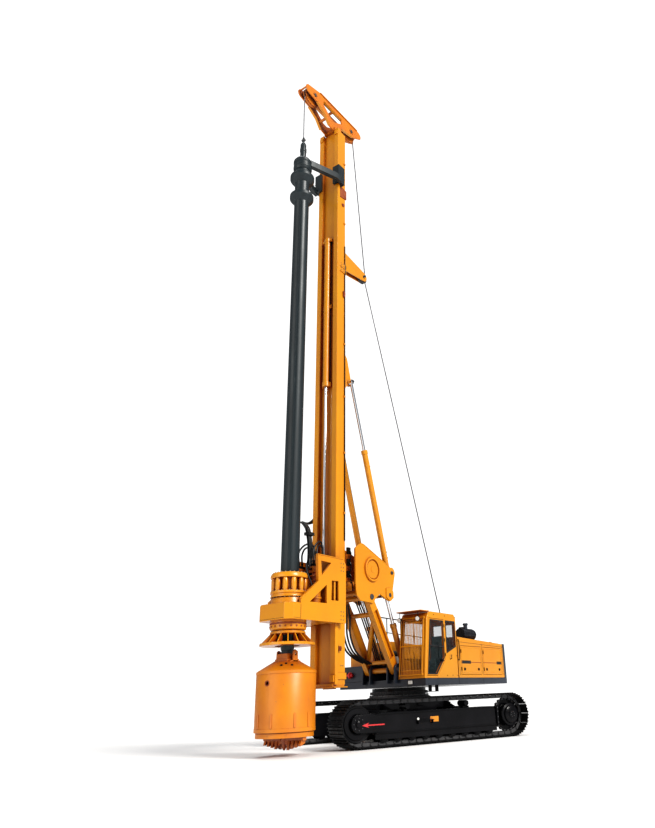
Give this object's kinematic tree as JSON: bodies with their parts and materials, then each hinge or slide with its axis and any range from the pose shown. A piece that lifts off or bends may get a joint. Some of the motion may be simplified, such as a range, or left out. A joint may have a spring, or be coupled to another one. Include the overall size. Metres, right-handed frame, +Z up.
{
  "type": "rotary piling rig",
  "caption": "Tracked rotary piling rig with slewing upper, cab, boom, cylinder-held mast, sliding power head, telescoping kelly bar and hinged drilling bucket.",
  "frame": {"origin": "middle of the whole outline's footprint, on the ground under the tracks", "axes": "+X forward from the cab to the kelly bar, +Y to the rig's left, +Z up along the mast"},
  "size_m": [9.65, 6.4152, 21.12],
  "materials": {
    "yellow": "gloss",
    "dark_grey": "semi-gloss",
    "black_steel": "worn satin",
    "kelly_grey": "satin",
    "chrome": "polished",
    "cast": "rough",
    "glass": "polished",
    "seat": "woven"
  },
  "bodies": {
    "undercarriage": {"track_left": "black_steel", "track_right": "black_steel", "track_frame_left": "black_steel", "track_frame_right": "black_steel", "idler_left": "cast", "idler_right": "cast", "final_drive_left": "black_steel", "final_drive_right": "black_steel", "carbody": "black_steel"},
    "upper": {"main_deck": "dark_grey", "counterweight": "dark_grey", "left_house": "yellow", "right_house": "yellow", "engine_block": "cast", "fuel_tank": "yellow", "front_locker": "dark_grey", "air_cleaner": "dark_grey", "winch_frame": "yellow", "cab_shell": "yellow", "windscreen": "glass", "side_window": "glass", "right_window": "glass", "rear_window": "glass", "windscreen_guard": "black_steel", "operator_seat": "seat", "operator_console": "dark_grey"},
    "left_front_door": {"left_front_door": "yellow"},
    "left_rear_door": {"left_rear_door": "yellow"},
    "right_door": {"right_door": "yellow"},
    "cab_door": {"cab_door": "yellow", "door_window": "glass"},
    "winch": {"winch_drum": "cast"},
    "boom": {"boom": "yellow"},
    "luffing_barrels": {"luffing_cylinders": "yellow"},
    "luffing_rods": {"luffing_rods": "chrome"},
    "bracket": {"luffing_bracket": "yellow"},
    "mast_barrels": {"mast_cylinders": "yellow"},
    "mast_rods": {"mast_rods": "chrome"},
    "mast": {"mast_lower": "yellow", "mast_upper": "yellow", "crown": "yellow", "crowd_cylinder": "yellow"},
    "front_sheave": {"front_sheave": "cast"},
    "rear_sheave": {"rear_sheave": "cast"},
    "guide_sheave": {"guide_sheave": "cast"},
    "power_head": {"power_head_carriage": "yellow", "rotary_gearbox": "yellow", "crowd_rod": "chrome"},
    "sleeve": {"drive_sleeve": "yellow", "casing_adaptor": "yellow"},
    "kelly_head": {"kelly_guide": "kelly_grey", "rope_swivel": "kelly_grey"},
    "kelly": {"kelly_outer": "kelly_grey"},
    "drill": {"kelly_inner": "kelly_grey", "drilling_bucket": "yellow"},
    "lid": {"bucket_lid": "yellow"}
  },
  "joints": [
    {"name": "slew", "type": "hinge", "parent": "undercarriage", "child": "upper", "pos_m": [-0.515, 0, 1.4], "axis": [0, 0, 1], "continuous": true},
    {"name": "boom_luff", "type": "hinge", "parent": "upper", "child": "boom", "pos_m": [0.315, 0, 1.85], "axis": [0, 1, 0], "range_deg": [-10, 10]},
    {"name": "luff_barrel_swing", "type": "hinge", "parent": "upper", "child": "luffing_barrels", "pos_m": [-0.215, 0, 1.85], "axis": [0, 1, 0], "range_deg": [-10.6, 10.6]},
    {"name": "luff_cylinder", "type": "slide", "parent": "luffing_barrels", "child": "luffing_rods", "axis": [0.3879, 0, 0.9217], "range_m": [-0.062, 0.062]},
    {"name": "bracket_level", "type": "hinge", "parent": "boom", "child": "bracket", "pos_m": [1.485, 0, 3.75], "axis": [0, 1, 0], "range_deg": [-10.5, 10.5]},
    {"name": "mast_tilt", "type": "hinge", "parent": "bracket", "child": "mast", "pos_m": [1.465, 0, 4.5], "axis": [0, 1, 0], "range_deg": [-15, 5]},
    {"name": "mast_barrel_swing", "type": "hinge", "parent": "bracket", "child": "mast_barrels", "pos_m": [0.505, 0, 4.52], "axis": [0, 1, 0], "range_deg": [-14.8, 5.2]},
    {"name": "mast_cylinder", "type": "slide", "parent": "mast_barrels", "child": "mast_rods", "axis": [0.2859, 0, 0.9582], "range_m": [-0.255, 0.09]},
    {"name": "front_sheave_spin", "type": "hinge", "parent": "mast", "child": "front_sheave", "pos_m": [3.825, 0, 20.78], "axis": [0, 1, 0], "continuous": true},
    {"name": "rear_sheave_spin", "type": "hinge", "parent": "mast", "child": "rear_sheave", "pos_m": [1.845, 0, 20.78], "axis": [0, 1, 0], "continuous": true},
    {"name": "guide_sheave_spin", "type": "hinge", "parent": "mast", "child": "guide_sheave", "pos_m": [1.045, 0, 14.8], "axis": [0, 1, 0], "continuous": true},
    {"name": "crowd", "type": "slide", "parent": "mast", "child": "power_head", "axis": [0, 0, 1], "range_m": [-0.15, 5]},
    {"name": "sleeve_spin", "type": "hinge", "parent": "power_head", "child": "sleeve", "pos_m": [4.125, 0, 3.2], "axis": [0, 0, 1], "continuous": true},
    {"name": "kelly_hoist", "type": "slide", "parent": "mast", "child": "kelly_head", "axis": [0, 0, 1], "range_m": [-11.4, 0.1]},
    {"name": "kelly_spin", "type": "hinge", "parent": "kelly_head", "child": "kelly", "pos_m": [4.125, 0, 16.5], "axis": [0, 0, 1], "continuous": true},
    {"name": "kelly_telescope", "type": "slide", "parent": "kelly", "child": "drill", "axis": [0, 0, 1], "range_m": [-10, 0]},
    {"name": "bucket_lid_hinge", "type": "hinge", "parent": "drill", "child": "lid", "pos_m": [3.445, 0, 0.47], "axis": [0, 1, 0], "range_deg": [0, 75]},
    {"name": "cab_door_hinge", "type": "hinge", "parent": "upper", "child": "cab_door", "pos_m": [-0.743, 1.506, 2.4], "axis": [0, 0, 1], "range_deg": [0, 100]},
    {"name": "left_front_door_hinge", "type": "hinge", "parent": "upper", "child": "left_front_door", "pos_m": [-1.643, 1.504, 2.1], "axis": [0, 0, -1], "range_deg": [0, 100]},
    {"name": "left_rear_door_hinge", "type": "hinge", "parent": "upper", "child": "left_rear_door", "pos_m": [-3.043, 1.504, 2.1], "axis": [0, 0, -1], "range_deg": [0, 100]},
    {"name": "right_door_hinge", "type": "hinge", "parent": "upper", "child": "right_door", "pos_m": [-1.823, -1.504, 2.1], "axis": [0, 0, 1], "range_deg": [0, 100]},
    {"name": "winch_spin", "type": "hinge", "parent": "upper", "child": "winch", "pos_m": [-3.715, 0, 2.25], "axis": [0, 1, 0], "continuous": true}
  ],
  "couplings": [
    {"joint": "luff_barrel_swing", "follows": "boom_luff", "ratio": 1.0061},
    {"joint": "luff_cylinder", "follows": "boom_luff", "m_per_rad": -0.3397},
    {"joint": "bracket_level", "follows": "boom_luff", "ratio": -1},
    {"joint": "mast_barrel_swing", "follows": "mast_tilt", "ratio": 0.9697},
    {"joint": "mast_cylinder", "follows": "mast_tilt", "m_per_rad": 0.9399},
    {"joint": "sleeve_spin", "follows": "kelly_spin", "ratio": 1}
  ]
}
